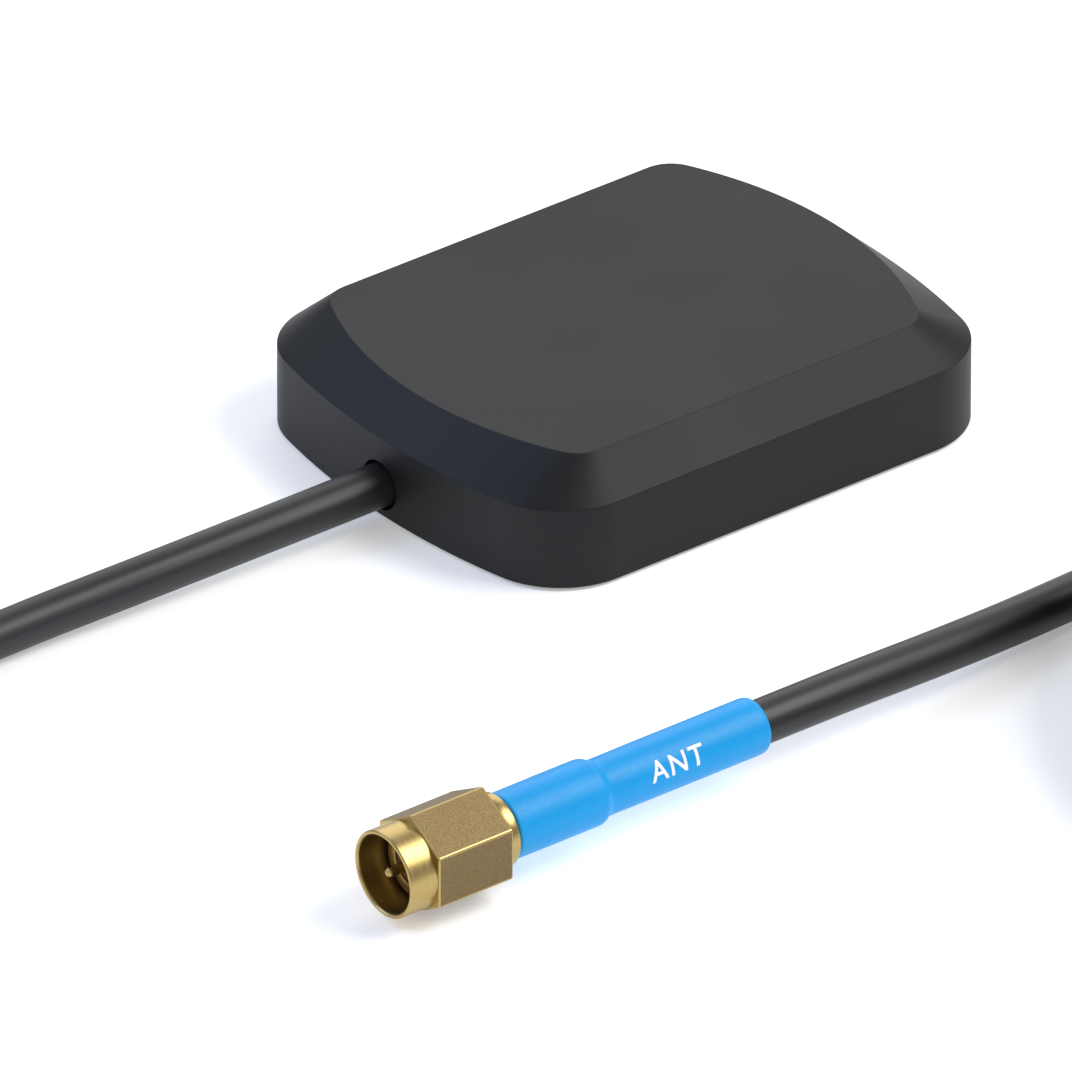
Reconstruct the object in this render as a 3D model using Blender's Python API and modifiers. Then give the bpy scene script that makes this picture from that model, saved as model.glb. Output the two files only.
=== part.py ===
"""Flat GNSS antenna puck with a magnetic base, a 3 m coax lead and an SMA plug.

Metres, +Z up. The origin is the middle of the puck's underside, on the surface it stands on.
The lead leaves the puck towards -X, and the plug at its far end also points towards -X.
"""

import math

import bmesh
import bpy
from mathutils import Matrix, Vector

MM = 0.001
GAP = 0.3 * MM

# Puck, overall 52.2 x 41.4 x 10.9 mm. Both outlines have straight sides, bowed ends and round corners.
BASE_OUTLINE = {
    "half_length": 26.1 * MM,
    "half_width": 20.7 * MM,
    "end_radius": 71.6 * MM,
    "corner": 7.7 * MM,
}
TOP_OUTLINE = {
    "half_length": 22.65 * MM,
    "half_width": 17.3 * MM,
    "end_radius": 35.6 * MM,
    "corner": 3.1 * MM,
}
RIM_Z = 0.3 * MM
WALL_TOP_Z = 7.7 * MM
TOP_Z = 10.9 * MM
WALL = 1.8 * MM
CEILING_INSET = 0.75 * MM
EDGE_RADIUS = 0.5 * MM

# Layers inside the puck, from the floor up.
PAD_TOP_Z = 0.5 * MM
PLATE_Z = (0.8 * MM, 2.2 * MM)
RAIL_TOP_Z = 3.7 * MM
CAN_Z = (2.5 * MM, 3.7 * MM)
BOARD_Z = (4.0 * MM, 4.8 * MM)
TAPE_Z = (4.95 * MM, 5.15 * MM)
PATCH_Z = (5.3 * MM, 8.8 * MM)
CEILING_Z = 9.3 * MM
BOARD_HALF = (14.7 * MM, 15.5 * MM)
PATCH_HALF = 12.5 * MM
FEED_AT = Vector((1.8 * MM, -1.8 * MM, 0.0))
POST_AT = Vector((18.8 * MM, 13.8 * MM, 0.0))
POST_RADIUS = 1.8 * MM
SCREW_HOLE_RADIUS = 0.8 * MM
SCREW_SINK_RADIUS = 1.9 * MM
SCREW_SINK_TOP_Z = 1.65 * MM
RAIL_HALF = (10.0 * MM, 0.75 * MM)
RAIL_Y = 13.5 * MM
SEAL_WIDTH = 1.0 * MM
SEAL_HEIGHT = 0.8 * MM
MAGNET_AT = Vector((18.6 * MM, 7.4 * MM, 0.0))
MAGNET_RADIUS = 3.5 * MM
MAGNET_HEIGHT = 2.1 * MM

# Lead: 3.9 mm jacket over a 2.9 mm braid, a 1.5 mm core and a 0.5 mm wire.
LEAD_RADIUS = 1.95 * MM
BRAID_RADIUS = 1.45 * MM
CORE_RADIUS = 0.75 * MM
WIRE_RADIUS = 0.25 * MM
LEAD_Z = 3.06 * MM
LEAD_HOLE_RADIUS = 2.25 * MM
LEAD_NOTCH_HALF_WIDTH = 3.7 * MM
BUSH_HALF_WIDTH = 3.4 * MM
BUSH_BORE_RADIUS = 2.1 * MM

# Coil of the spare lead: about 17 turns, five and four to a layer, held by three ties.
COIL_CENTRE = Vector((26.0 * MM, -83.7 * MM, 0.0))
COIL_RADIUS = 23.2 * MM
COIL_HALF_WIDTH = 9.9 * MM
TIE_THICKNESS = 0.6 * MM
COIL_BOTTOM_Z = TIE_THICKNESS + GAP
COIL_HEIGHT = 14.2 * MM
TIE_WIDTH = 5.0 * MM
TIE_CORNER = 1.5 * MM
TIE_ANGLES = (120, 212, 320)

# Plug. Its own z axis points out of its mating end, and z = 0 is the face that a socket seats on.
PLUG_FACE = Vector((-63.5 * MM, -52.1 * MM, 4.7 * MM))
NUT_FRONT = 2.8 * MM
NUT_COLLAR_RADIUS = 3.85 * MM
HEX_FRONT = 0.1 * MM
HEX_REAR = -7.6 * MM
HEX_ACROSS_FLATS = 8.0 * MM
HEX_TURN = math.radians(30)
NUT_BORE = 3.4 * MM
NUT_REAR_BORE = 2.75 * MM
SHELL_RADIUS = 2.65 * MM
SHELL_BORE = 2.0 * MM
PLUG_COLLAR_RADIUS = 3.25 * MM
PLUG_COLLAR_Z = (-9.0 * MM, -7.9 * MM)
STEM_RADIUS = 1.35 * MM
STEM_BORE = 1.05 * MM
STEM_END = -16.0 * MM
PIN_RADIUS = 0.45 * MM
PIN_TIP = 2.5 * MM
FERRULE_END = -18.2 * MM
SLEEVE_STEP = -18.6 * MM
SLEEVE_END = -35.9 * MM

# The route of the lead in millimetres, to where it joins the coil and from there to the plug.
ROUTE_TO_COIL = [
    (-15.9, 0.0, 3.06), (-21.0, 0.0, 3.06), (-26.1, 0.0, 3.06), (-36.0, 0.1, 2.98), (-50.0, 0.6, 2.65),
    (-63.0, 1.2, 2.25), (-74.0, 0.9, 2.0), (-84.5, -2.4, 2.0), (-93.0, -10.5, 2.0), (-99.5, -22.0, 2.0),
    (-105.5, -35.0, 2.0), (-110.0, -49.0, 2.0), (-110.5, -63.5, 2.0), (-103.5, -77.5, 2.0),
    (-91.5, -90.0, 2.0), (-76.5, -100.5, 2.0), (-60.0, -108.5, 2.0), (-42.0, -114.0, 2.0),
    (-24.0, -116.9, 2.0), (-8.0, -117.3, 2.1), (3.0, -117.1, 2.4), (11.3, -116.4, 2.8),
]
ROUTE_TO_PLUG = [
    (58.8, -69.3, 11.6), (54.0, -61.6, 10.2), (47.3, -55.2, 7.8), (39.0, -50.8, 5.0), (30.0, -48.7, 3.0),
    (20.5, -48.3, 2.1), (11.0, -48.6, 2.1), (1.5, -49.6, 2.6), (-8.0, -50.9, 3.6), (-17.5, -51.8, 4.45),
    (-27.6, -52.1, 4.7), (-37.0, -52.1, 4.7), (-47.1, -52.1, 4.7),
]


# Scene, materials and modifiers


def clear_scene():
    for obj in list(bpy.data.objects):
        bpy.data.objects.remove(obj, do_unlink=True)


def new_collection(name, hidden=False):
    collection = bpy.data.collections.new(name)
    collection.hide_render = hidden
    bpy.context.scene.collection.children.link(collection)
    return collection


def new_material(name, color, roughness, metallic=0.0):
    material = bpy.data.materials.new(name)
    material.use_nodes = True
    shader = material.node_tree.nodes["Principled BSDF"]
    shader.inputs["Base Color"].default_value = (*color, 1.0)
    shader.inputs["Roughness"].default_value = roughness
    shader.inputs["Metallic"].default_value = metallic
    material.diffuse_color = (*color, 1.0)
    return material


def add_object(name, data, parent=None, as_cutter=False):
    obj = bpy.data.objects.new(name, data)
    (CUTTERS if as_cutter else PARTS).objects.link(obj)
    obj.parent = parent
    if as_cutter:
        obj.hide_render = True
        obj.display_type = "WIRE"
    return obj


def finish_mesh(bm, name, parent=None, as_cutter=False, smooth=False):
    bmesh.ops.recalc_face_normals(bm, faces=bm.faces)
    mesh = bpy.data.meshes.new(name)
    bm.to_mesh(mesh)
    bm.free()
    if smooth:
        mesh.shade_smooth()
        mesh.set_sharp_from_angle(angle=math.radians(35))
    return add_object(name, mesh, parent, as_cutter)


def paint(obj, material):
    obj.data.materials.append(material)
    return obj


def boolean(obj, other, operation):
    modifier = obj.modifiers.new(f"{operation.lower()} {other.name}", "BOOLEAN")
    modifier.operation = operation
    modifier.solver = "EXACT"
    modifier.object = other


def round_edges(obj, width, segments=2):
    modifier = obj.modifiers.new("rounded edges", "BEVEL")
    modifier.width = width
    modifier.segments = segments
    modifier.limit_method = "ANGLE"
    modifier.angle_limit = math.radians(30)


# Shapes


def arc(centre, radius, start, end, segments):
    """Points of an arc in a plane, from the angle start to the angle end, in radians."""
    angles = [start + (end - start) * i / segments for i in range(segments + 1)]
    return [(centre[0] + radius * math.cos(a), centre[1] + radius * math.sin(a)) for a in angles]


def puck_outline(half_length, half_width, end_radius, corner, inset=0.0):
    """Points round a puck outline: straight sides, bowed ends and round corners."""
    length, width = half_length - inset, half_width - inset
    end, turn = end_radius - inset, corner - inset
    bow_x = length - end
    corner_y = width - turn
    corner_x = bow_x + math.sqrt((end - turn) ** 2 - corner_y**2)
    meet = math.atan2(corner_y, corner_x - bow_x)
    bow = arc((bow_x, 0.0), end, 0.0, meet, 7)
    quarter = bow[:-1] + arc((corner_x, corner_y), turn, meet, math.pi / 2, 6)
    left = [(-x, y) for x, y in reversed(quarter)]
    upper = quarter + left
    lower = [(x, -y) for x, y in reversed(upper)]
    return upper + lower[1:-1]


def rectangle(half_x, half_y, x=0.0, y=0.0):
    return [(x + i * half_x, y + j * half_y) for i, j in ((1, -1), (1, 1), (-1, 1), (-1, -1))]


def circle(radius, segments, x=0.0, y=0.0):
    return arc((x, y), radius, 0.0, 2 * math.pi, segments)[:-1]


def loft(name, rings, **options):
    """A closed solid through rings of equally many points, each an (outline, height) pair."""
    bm = bmesh.new()
    loops = [[bm.verts.new((x, y, z)) for x, y in outline] for outline, z in rings]
    for low, high in zip(loops, loops[1:]):
        for i in range(len(low)):
            j = (i + 1) % len(low)
            bm.faces.new((low[i], low[j], high[j], high[i]))
    bm.faces.new(loops[0])
    bm.faces.new(loops[-1])
    return finish_mesh(bm, name, **options)


def sheet(name, outlines, heights):
    """A flat piece between two heights, from an outline and any holes in it."""
    curve = bpy.data.curves.new(name, "CURVE")
    curve.dimensions = "2D"
    curve.fill_mode = "BOTH"
    curve.extrude = (heights[1] - heights[0]) / 2
    for outline in outlines:
        spline = curve.splines.new("POLY")
        spline.points.add(len(outline) - 1)
        for point, (x, y) in zip(spline.points, outline):
            point.co = (x, y, 0.0, 1.0)
        spline.use_cyclic_u = True
    obj = add_object(name, curve)
    obj.location.z = (heights[0] + heights[1]) / 2
    return obj


def block(name, low, high, **options):
    bm = bmesh.new()
    size = [b - a for a, b in zip(low, high)]
    middle = [(a + b) / 2 for a, b in zip(low, high)]
    place = Matrix.Translation(middle) @ Matrix.Diagonal((*size, 1.0))
    bmesh.ops.create_cube(bm, size=1.0, matrix=place)
    return finish_mesh(bm, name, **options)


def rods(name, places, radius, heights, segments=20, **options):
    """Upright round rods of one size, in one object."""
    bm = bmesh.new()
    for place in places:
        middle = Matrix.Translation((place.x, place.y, (heights[0] + heights[1]) / 2))
        bmesh.ops.create_cone(
            bm, cap_ends=True, segments=segments, radius1=radius, radius2=radius,
            depth=heights[1] - heights[0], matrix=middle,
        )
    return finish_mesh(bm, name, smooth=True, **options)


def rod_along_x(name, radius, ends, y, z, segments=16, **options):
    bm = bmesh.new()
    place = Matrix.Translation(((ends[0] + ends[1]) / 2, y, z)) @ Matrix.Rotation(math.pi / 2, 4, "Y")
    bmesh.ops.create_cone(
        bm, cap_ends=True, segments=segments, radius1=radius, radius2=radius,
        depth=ends[1] - ends[0], matrix=place,
    )
    return finish_mesh(bm, name, smooth=True, **options)


def turned(name, profile, steps=32, closed=True, parent=None, as_cutter=False):
    """A turned piece about its own z axis: (radius, height) points, down the outer side first."""
    mesh = bpy.data.meshes.new(name)
    edges = [(i, i + 1) for i in range(len(profile) - 1)]
    if closed:
        edges.append((len(profile) - 1, 0))
    mesh.from_pydata([(radius, 0.0, height) for radius, height in profile], edges, [])
    obj = add_object(name, mesh, parent, as_cutter)
    screw = obj.modifiers.new("turned", "SCREW")
    screw.steps = steps
    screw.render_steps = steps
    screw.use_merge_vertices = True
    screw.merge_threshold = 0.01 * MM
    screw.use_smooth_shade = True
    return obj


def smooth_route(points, spacing):
    """Evenly spaced points on a smooth curve through the given ones, in metres."""
    knots = [Vector(p) * MM for p in points]
    knots = [2 * knots[0] - knots[1], *knots, 2 * knots[-1] - knots[-2]]
    dense = []
    for a, b, c, d in zip(knots, knots[1:], knots[2:], knots[3:]):
        for step in range(16):
            t = step / 16
            bend = (2 * a - 5 * b + 4 * c - d) * t**2 + (3 * b - a - 3 * c + d) * t**3
            dense.append(0.5 * (2 * b + (c - a) * t + bend))
    dense.append(knots[-2])
    lengths = [0.0]
    for a, b in zip(dense, dense[1:]):
        lengths.append(lengths[-1] + (b - a).length)
    count = max(2, round(lengths[-1] / spacing))
    route, k = [], 0
    for i in range(count + 1):
        at = lengths[-1] * i / count
        while k < len(dense) - 2 and lengths[k + 1] < at:
            k += 1
        share = (at - lengths[k]) / (lengths[k + 1] - lengths[k])
        route.append(dense[k].lerp(dense[k + 1], min(1.0, share)))
    return route


def lead_tube(name, points):
    curve = bpy.data.curves.new(name, "CURVE")
    curve.dimensions = "3D"
    curve.bevel_depth = LEAD_RADIUS
    curve.bevel_resolution = 2
    curve.use_fill_caps = True
    route = smooth_route(points, 2.6 * 2 * LEAD_RADIUS)
    spline = curve.splines.new("POLY")
    spline.points.add(len(route) - 1)
    for point, place in zip(spline.points, route):
        point.co = (*place, 1.0)
    return paint(add_object(name, curve), JACKET)


def corners(place):
    """The four places that mirror one place about both of the puck's middle planes."""
    return [Vector((i * place.x, j * place.y, 0.0)) for i in (1, -1) for j in (1, -1)]


# Puck


def make_top_cover():
    """The radome: a moulded shell with screw posts and a round hole for the lead."""
    cover = loft(
        "top_cover",
        [
            (puck_outline(**TOP_OUTLINE, inset=CEILING_INSET), CEILING_Z),
            (puck_outline(**BASE_OUTLINE, inset=WALL), WALL_TOP_Z - 0.7 * MM),
            (puck_outline(**BASE_OUTLINE, inset=WALL), RIM_Z),
            (puck_outline(**BASE_OUTLINE), RIM_Z),
            (puck_outline(**BASE_OUTLINE), WALL_TOP_Z),
            (puck_outline(**TOP_OUTLINE), TOP_Z),
        ],
        smooth=True,
    )
    round_edges(cover, EDGE_RADIUS)
    post_heights = (PLATE_Z[1] + GAP, CEILING_Z + GAP)
    posts = rods("cover_posts", corners(POST_AT), POST_RADIUS, post_heights, as_cutter=True)
    hole_heights = (PLATE_Z[0], WALL_TOP_Z)
    holes = rods("post_holes", corners(POST_AT), SCREW_HOLE_RADIUS, hole_heights, 14, as_cutter=True)
    ends = (-BASE_OUTLINE["half_length"] - WALL, -BASE_OUTLINE["half_length"] + 1.5 * WALL)
    lead_hole = rod_along_x("lead_hole", LEAD_HOLE_RADIUS, ends, 0.0, LEAD_Z, 28, as_cutter=True)
    boolean(cover, posts, "UNION")
    boolean(cover, holes, "DIFFERENCE")
    boolean(cover, lead_hole, "DIFFERENCE")
    paint(cover, ABS)


def make_base_plate():
    """The moulded bottom, with two rails for the board, a notch for the lead and sunk screw holes."""
    outline = puck_outline(**BASE_OUTLINE, inset=WALL + GAP)
    plate = loft("base_plate", [(outline, PLATE_Z[0]), (outline, PLATE_Z[1])])
    for side in (-1, 1):
        rail = block(
            f"board_rail_{'left' if side > 0 else 'right'}",
            (-RAIL_HALF[0], side * RAIL_Y - RAIL_HALF[1], PLATE_Z[1] - 0.5 * MM),
            (RAIL_HALF[0], side * RAIL_Y + RAIL_HALF[1], RAIL_TOP_Z),
            as_cutter=True,
        )
        boolean(plate, rail, "UNION")
    notch = block(
        "lead_notch",
        (-30 * MM, -LEAD_NOTCH_HALF_WIDTH, 0),
        (-12.8 * MM, LEAD_NOTCH_HALF_WIDTH, 4 * MM),
        as_cutter=True,
    )
    places = corners(POST_AT)
    clearances = rods("screw_clearances", places, SCREW_HOLE_RADIUS, (0, 4 * MM), 14, as_cutter=True)
    sinks = rods("screw_sinks", places, SCREW_SINK_RADIUS, (0, SCREW_SINK_TOP_Z), as_cutter=True)
    for cutter in (notch, clearances, sinks):
        boolean(plate, cutter, "DIFFERENCE")
    paint(plate, ABS)


def make_base_pad():
    """The soft grip pad stuck under the plate, which the puck stands on."""
    outline = puck_outline(**BASE_OUTLINE, inset=3.0 * MM)
    paint(sheet("base_pad", [outline], (0.0, PAD_TOP_Z)), RUBBER)


def make_base_seal():
    """The seal strip between plate and wall, open where the bush fills the gap."""
    low_z = PLATE_Z[1] + GAP
    high_z = low_z + SEAL_HEIGHT
    inner = puck_outline(**BASE_OUTLINE, inset=WALL + GAP + SEAL_WIDTH)
    outer = puck_outline(**BASE_OUTLINE, inset=WALL + GAP)
    bm = bmesh.new()
    loops = [
        [bm.verts.new((x, y, z)) for x, y in outline]
        for outline, z in ((outer, low_z), (outer, high_z), (inner, high_z), (inner, low_z))
    ]
    for low, high in zip(loops, loops[1:] + loops[:1]):
        for i in range(len(low)):
            j = (i + 1) % len(low)
            bm.faces.new((low[i], low[j], high[j], high[i]))
    seal = finish_mesh(bm, "base_seal")
    half_width = LEAD_NOTCH_HALF_WIDTH + 0.1 * MM
    opening = block(
        "seal_opening", (-30 * MM, -half_width, 0), (-18 * MM, half_width, 5 * MM), as_cutter=True
    )
    boolean(seal, opening, "DIFFERENCE")
    paint(seal, RUBBER)


def make_screws():
    head = (0.85 * MM, 1.35 * MM)
    profile = [
        (0.0, 6.8 * MM), (0.3 * MM, 6.8 * MM), (0.5 * MM, 6.3 * MM), (0.5 * MM, head[1]),
        (1.6 * MM, head[1]), (1.6 * MM, head[0]), (0.0, head[0]),
    ]
    first = None
    for number, place in enumerate(corners(POST_AT), 1):
        screw = turned(f"base_screw_{number}", profile, steps=16, closed=False)
        if first is None:
            first = paint(screw, STEEL).data
        else:
            spare, screw.data = screw.data, first
            bpy.data.meshes.remove(spare)
        screw.location = place


def make_magnets():
    for number, place in enumerate(corners(MAGNET_AT), 1):
        heights = (PLATE_Z[1] + GAP, PLATE_Z[1] + GAP + MAGNET_HEIGHT)
        paint(rods(f"magnet_{number}", [place], MAGNET_RADIUS, heights, 24), NICKEL)


def make_electronics():
    """Patch element, its tape, the board and the amplifier parts under it."""
    feed = circle(0.7 * MM, 12, FEED_AT.x, FEED_AT.y)
    paint(sheet("circuit_board", [rectangle(*BOARD_HALF), feed], BOARD_Z), BOARD)
    paint(sheet("patch_tape", [rectangle(12 * MM, 12 * MM), feed], TAPE_Z), TAPE)
    patch_outline = rectangle(PATCH_HALF, PATCH_HALF)
    paint(sheet("patch_antenna", [patch_outline, feed], PATCH_Z), CERAMIC)
    pin = turned(
        "feed_pin",
        [
            (0.0, CEILING_Z - 0.15 * MM), (0.9 * MM, CEILING_Z - 0.2 * MM),
            (0.9 * MM, PATCH_Z[1] + 0.1 * MM), (0.4 * MM, PATCH_Z[1] + 0.1 * MM),
            (0.4 * MM, BOARD_Z[0]), (0.0, BOARD_Z[0]),
        ],
        steps=12,
        closed=False,
    )
    pin.location = FEED_AT
    paint(pin, BRASS)
    can = block("shield_can", (-5.5 * MM, -6.5 * MM, CAN_Z[0]), (9.5 * MM, 6.5 * MM, CAN_Z[1]))
    room = block(
        "can_room",
        (-5.2 * MM, -6.2 * MM, CAN_Z[0] + 0.2 * MM),
        (9.2 * MM, 6.2 * MM, 5 * MM),
        as_cutter=True,
    )
    boolean(can, room, "DIFFERENCE")
    paint(can, STEEL)
    chip = block("amplifier_chip", (-3.5 * MM, -1.5 * MM, 3.0 * MM), (-0.5 * MM, 1.5 * MM, 3.7 * MM))
    paint(chip, ABS)
    filter_body = block("saw_filter", (2.5 * MM, -1.9 * MM, 2.95 * MM), (6.3 * MM, 1.9 * MM, 3.7 * MM))
    paint(filter_body, CERAMIC)


def make_lead_entry():
    """What holds the lead in the puck, and the stripped end of its coax."""
    half_length = BASE_OUTLINE["half_length"]
    bush = block(
        "lead_bush",
        (-half_length + WALL + 0.4 * MM, -BUSH_HALF_WIDTH, 0.65 * MM),
        (-18.4 * MM, BUSH_HALF_WIDTH, 5.9 * MM),
    )
    bore_ends = (-28 * MM, -15 * MM)
    bush_bore = rod_along_x("bush_bore", BUSH_BORE_RADIUS, bore_ends, 0.0, LEAD_Z, as_cutter=True)
    boolean(bush, bush_bore, "DIFFERENCE")
    paint(bush, RUBBER)
    crimp = turned(
        "lead_crimp",
        [(2.4 * MM, 0.85 * MM), (2.4 * MM, -0.85 * MM), (2.05 * MM, -0.85 * MM), (2.05 * MM, 0.85 * MM)],
        steps=24,
    )
    crimp.location = (-17.1 * MM, 0.0, LEAD_Z)
    crimp.rotation_euler.y = math.pi / 2
    paint(crimp, BRASS)
    stages = (
        ("coax_braid", BRAID_RADIUS, (-15.6 * MM, -15.0 * MM), BRAID),
        ("coax_core", CORE_RADIUS, (-14.8 * MM, -11.5 * MM), CORE),
        ("coax_wire", WIRE_RADIUS, (-11.3 * MM, -9.8 * MM), BRASS),
    )
    for name, radius, ends, material in stages:
        paint(rod_along_x(name, radius, ends, 0.0, LEAD_Z, 12), material)


# Lead


def make_lead():
    lead_tube("lead_from_puck", ROUTE_TO_COIL)
    lead_tube("lead_to_plug", ROUTE_TO_PLUG)


def make_coil():
    """The turns of spare lead as one ring of their outer shape."""
    inner, outer = COIL_RADIUS - COIL_HALF_WIDTH, COIL_RADIUS + COIL_HALF_WIDTH
    low, high = COIL_BOTTOM_Z, COIL_BOTTOM_Z + COIL_HEIGHT
    cut = 1.6 * MM
    profile = [
        (outer - cut, high), (outer, high - cut), (outer, low + cut), (outer - cut, low),
        (inner + cut, low), (inner, low + cut), (inner, high - cut), (inner + cut, high),
    ]
    coil = turned("lead_coil", profile, steps=48)
    coil.location = COIL_CENTRE
    paint(coil, JACKET)


def make_ties():
    """Three flat straps round the coil's bundle, each square to the turns."""
    corner_x = COIL_HALF_WIDTH + GAP - TIE_CORNER
    corner_y = COIL_HEIGHT / 2 + GAP - TIE_CORNER
    for number, degrees in enumerate(TIE_ANGLES, 1):
        outlines = [
            [
                (x + i, y + j)
                for i, j, start in (
                    (corner_x, corner_y, 0.0),
                    (-corner_x, corner_y, 0.5 * math.pi),
                    (-corner_x, -corner_y, math.pi),
                    (corner_x, -corner_y, 1.5 * math.pi),
                )
                for x, y in arc((0.0, 0.0), TIE_CORNER + extra, start, start + 0.5 * math.pi, 3)
            ]
            for extra in (TIE_THICKNESS, 0.0)
        ]
        tie = sheet(f"coil_tie_{number}", outlines, (-TIE_WIDTH / 2, TIE_WIDTH / 2))
        outward = Vector((math.cos(math.radians(degrees)), math.sin(math.radians(degrees)), 0.0))
        tie.rotation_euler = (math.pi / 2, 0.0, math.radians(degrees))
        tie.location = COIL_CENTRE + outward * COIL_RADIUS
        tie.location.z = COIL_BOTTOM_Z + COIL_HEIGHT / 2
        paint(tie, STRAP)


# Plug


def plug_axis():
    """An empty at the plug's seating face, with its z axis pointing out of the mating end."""
    empty = bpy.data.objects.new("plug_axis", None)
    PARTS.objects.link(empty)
    empty.location = PLUG_FACE
    empty.rotation_euler.y = -math.pi / 2
    return empty


def make_coupling_nut(axis):
    """The hex nut, with a turned collar, a threaded bore drawn plain and a groove for the snap ring."""
    bm = bmesh.new()
    corner_radius = HEX_ACROSS_FLATS / 2 / math.cos(math.pi / 6)
    middle = Matrix.Translation((0.0, 0.0, (HEX_FRONT + HEX_REAR) / 2))
    bmesh.ops.create_cone(
        bm, cap_ends=True, segments=6, radius1=corner_radius, radius2=corner_radius,
        depth=HEX_FRONT - HEX_REAR, matrix=middle @ Matrix.Rotation(HEX_TURN, 4, "Z"),
    )
    nut = finish_mesh(bm, "coupling_nut", parent=axis)
    collar = turned(
        "nut_collar",
        [
            (0.0, NUT_FRONT), (NUT_COLLAR_RADIUS - 0.1 * MM, NUT_FRONT),
            (NUT_COLLAR_RADIUS, NUT_FRONT - 0.1 * MM), (NUT_COLLAR_RADIUS, -1.0 * MM), (0.0, -1.0 * MM),
        ],
        closed=False,
        parent=axis,
        as_cutter=True,
    )
    bore = turned(
        "nut_bore",
        [
            (0.0, NUT_FRONT + 1 * MM), (NUT_BORE + 0.1 * MM, NUT_FRONT + 1 * MM),
            (NUT_BORE + 0.1 * MM, NUT_FRONT - 0.1 * MM), (NUT_BORE, NUT_FRONT - 0.3 * MM),
            (NUT_BORE, -1.1 * MM), (NUT_REAR_BORE, -1.1 * MM),
            (NUT_REAR_BORE, -3.4 * MM), (3.25 * MM, -3.4 * MM),
            (3.25 * MM, -4.6 * MM), (NUT_REAR_BORE, -4.6 * MM),
            (NUT_REAR_BORE, -8.5 * MM), (0.0, -8.5 * MM),
        ],
        closed=False,
        parent=axis,
        as_cutter=True,
    )
    boolean(nut, collar, "UNION")
    boolean(nut, bore, "DIFFERENCE")
    paint(nut, BRASS)


def make_plug_body(axis):
    """Turned shell, collar and crimp stem in one piece."""
    body = turned(
        "plug_body",
        [
            (SHELL_RADIUS, 0.0), (SHELL_RADIUS, -3.5 * MM),
            (2.3 * MM, -3.5 * MM), (2.3 * MM, -4.5 * MM),
            (SHELL_RADIUS, -4.5 * MM), (SHELL_RADIUS, PLUG_COLLAR_Z[1]),
            (PLUG_COLLAR_RADIUS, PLUG_COLLAR_Z[1]), (PLUG_COLLAR_RADIUS, PLUG_COLLAR_Z[0]),
            (STEM_RADIUS, PLUG_COLLAR_Z[0]), (STEM_RADIUS, STEM_END),
            (STEM_BORE, STEM_END), (STEM_BORE, -8.2 * MM),
            (SHELL_BORE, -8.2 * MM), (SHELL_BORE, 0.0),
        ],
        parent=axis,
    )
    paint(body, BRASS)


def make_plug_inside(axis):
    """Snap ring, gasket, insulator, centre pin and the coax end in the stem."""
    snap_ring = turned(
        "snap_ring",
        [(3.1 * MM, -3.75 * MM), (3.1 * MM, -4.25 * MM), (2.4 * MM, -4.25 * MM), (2.4 * MM, -3.75 * MM)],
        steps=28,
        parent=axis,
    )
    slit = block(
        "snap_ring_slit",
        (1 * MM, -0.8 * MM, -6 * MM),
        (5 * MM, 0.8 * MM, -2 * MM),
        parent=axis,
        as_cutter=True,
    )
    boolean(snap_ring, slit, "DIFFERENCE")
    paint(snap_ring, STEEL)
    gasket = turned(
        "plug_gasket",
        [(3.1 * MM, -0.15 * MM), (3.1 * MM, -0.9 * MM), (2.75 * MM, -0.9 * MM), (2.75 * MM, -0.15 * MM)],
        steps=28,
        parent=axis,
    )
    paint(gasket, SILICONE)
    insulator = turned(
        "plug_insulator",
        [(1.9 * MM, -0.05 * MM), (1.9 * MM, -7.9 * MM), (0.55 * MM, -7.9 * MM), (0.55 * MM, -0.05 * MM)],
        steps=24,
        parent=axis,
    )
    paint(insulator, PEI)
    tip = [
        (PIN_RADIUS * math.sin(a), PIN_TIP - PIN_RADIUS * (1 - math.cos(a)))
        for a in (0.0, 0.6, 1.1, 0.5 * math.pi)
    ]
    pin = turned(
        "centre_pin",
        tip + [(PIN_RADIUS, -8.2 * MM), (0.65 * MM, -8.2 * MM), (0.65 * MM, -9.8 * MM), (0.0, -9.8 * MM)],
        steps=16,
        closed=False,
        parent=axis,
    )
    paint(pin, BRASS)
    core = turned(
        "plug_core",
        [(0.0, -10.1 * MM), (CORE_RADIUS, -10.1 * MM), (CORE_RADIUS, -16.1 * MM), (0.0, -16.1 * MM)],
        steps=12,
        closed=False,
        parent=axis,
    )
    paint(core, CORE)


def make_plug_rear(axis):
    """Braid on the stem, the ferrule crimped over it, and the coloured sleeve over both."""
    braid = turned(
        "plug_braid",
        [(1.85 * MM, -9.4 * MM), (1.85 * MM, STEM_END), (1.45 * MM, STEM_END), (1.45 * MM, -9.4 * MM)],
        steps=20,
        parent=axis,
    )
    paint(braid, BRAID)
    ferrule = turned(
        "crimp_ferrule",
        [(2.45 * MM, -9.3 * MM), (2.45 * MM, FERRULE_END), (2.05 * MM, FERRULE_END), (2.05 * MM, -9.3 * MM)],
        steps=28,
        parent=axis,
    )
    paint(ferrule, BRASS)
    sleeve = turned(
        "shrink_sleeve",
        [
            (2.91 * MM, -9.3 * MM), (2.91 * MM, SLEEVE_STEP), (2.5 * MM, SLEEVE_STEP - 0.8 * MM),
            (2.5 * MM, SLEEVE_END + 0.6 * MM), (2.35 * MM, SLEEVE_END), (2.1 * MM, SLEEVE_END),
            (2.1 * MM, FERRULE_END - 0.7 * MM), (2.6 * MM, FERRULE_END - 0.2 * MM), (2.6 * MM, -9.3 * MM),
        ],
        steps=28,
        parent=axis,
    )
    paint(sleeve, SLEEVE)


clear_scene()
PARTS = new_collection("gnss_antenna")
CUTTERS = new_collection("cutters", hidden=True)

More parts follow.
